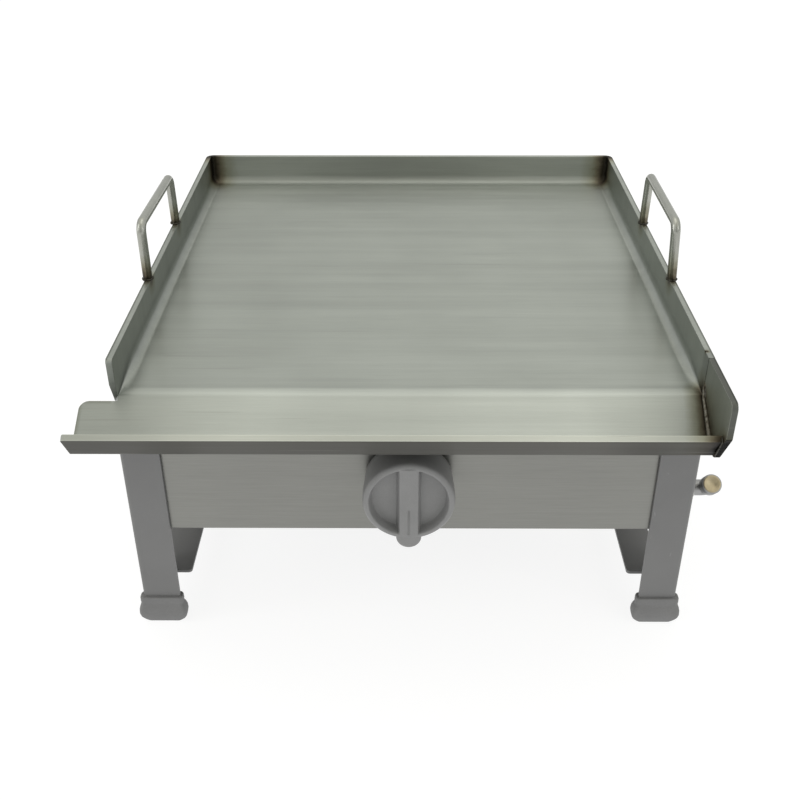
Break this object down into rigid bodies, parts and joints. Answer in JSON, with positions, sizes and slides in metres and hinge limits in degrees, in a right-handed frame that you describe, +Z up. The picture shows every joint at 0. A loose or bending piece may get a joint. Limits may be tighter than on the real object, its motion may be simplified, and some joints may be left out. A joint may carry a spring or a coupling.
{
  "type": "flat top griddle",
  "caption": "Flat top griddle: a folded steel plate with side walls, front grease trough and two handles, lifting off a gas burner stand with a front knob.",
  "frame": {"origin": "centre of the object's box, on the floor under the rubber feet", "axes": "+X to the object's right, +Y from the front trough and knob to the back wall, +Z up"},
  "size_m": [0.507, 0.5275, 0.3239],
  "materials": {
    "griddle_steel": "brushed along the width, heat marks at the welds",
    "handle_steel": "satin round bar",
    "panel_steel": "brushed sheet",
    "leg_paint": "satin mid grey",
    "foot_rubber": "matt moulded",
    "plated_steel": "bright zinc plate",
    "elbow_steel": "dull grey",
    "brass": "satin turned",
    "cast_iron": "sand cast",
    "knob_plastic": "fine moulded grain",
    "ceramic": "glazed",
    "lead_rubber": "smooth sleeve"
  },
  "bodies": {
    "stand": {"leg_front_left": "leg_paint", "leg_rear_left": "leg_paint", "leg_front_right": "leg_paint", "leg_rear_right": "leg_paint", "foot_front_left": "foot_rubber", "foot_rear_left": "foot_rubber", "foot_front_right": "foot_rubber", "foot_rear_right": "foot_rubber", "panel_screw_front_left_upper": "plated_steel", "panel_screw_front_left_lower": "plated_steel", "panel_screw_front_right_upper": "plated_steel", "panel_screw_front_right_lower": "plated_steel", "panel_screw_rear_left_upper": "plated_steel", "panel_screw_rear_left_lower": "plated_steel", "panel_screw_rear_right_upper": "plated_steel", "panel_screw_rear_right_lower": "plated_steel", "rail_rivet_front_left": "plated_steel", "rail_rivet_front_right": "plated_steel", "rail_rivet_rear_left": "plated_steel", "rail_rivet_rear_right": "plated_steel", "front_panel": "panel_steel", "back_panel": "panel_steel", "side_panel_left": "panel_steel", "side_panel_right": "panel_steel", "side_rail_left": "leg_paint", "side_rail_right": "leg_paint", "knob_bezel": "plated_steel", "burner_crossbar_front": "plated_steel", "burner_crossbar_rear": "plated_steel", "inlet_elbow": "elbow_steel", "inlet_lock_nut": "elbow_steel", "valve_body": "brass", "injector": "brass", "pipe_nut": "brass", "gas_pipe": "brass", "inlet_hose_end": "brass", "burner": "cast_iron", "mixing_tube": "cast_iron", "igniter_electrode": "ceramic", "igniter_lead": "lead_rubber"},
    "griddle": {"griddle_plate": "griddle_steel", "trough_end_plate": "griddle_steel", "handle_left": "handle_steel", "handle_right": "handle_steel"},
    "stem_collar": {"stem_collar": "plated_steel"},
    "knob": {"knob": "knob_plastic", "valve_stem": "plated_steel"},
    "air_shutter": {"air_shutter": "plated_steel"}
  },
  "joints": [
    {"name": "griddle_lift", "type": "slide", "parent": "stand", "child": "griddle", "axis": [0, 0, 1], "range_m": [0, 0.12]},
    {"name": "knob_push", "type": "slide", "parent": "stand", "child": "stem_collar", "axis": [0, 1, 0], "range_m": [0, 0.0035], "stiffness_N_per_m": 900},
    {"name": "knob_turn", "type": "hinge", "parent": "stem_collar", "child": "knob", "pos_m": [-0.00553, -0.19725, 0.1566], "axis": [0, -1, 0], "range_deg": [0, 90]},
    {"name": "air_shutter_turn", "type": "hinge", "parent": "stand", "child": "air_shutter", "pos_m": [-0.00473, -0.13225, 0.1566], "axis": [0, 1, 0], "range_deg": [-45, 45]}
  ]
}
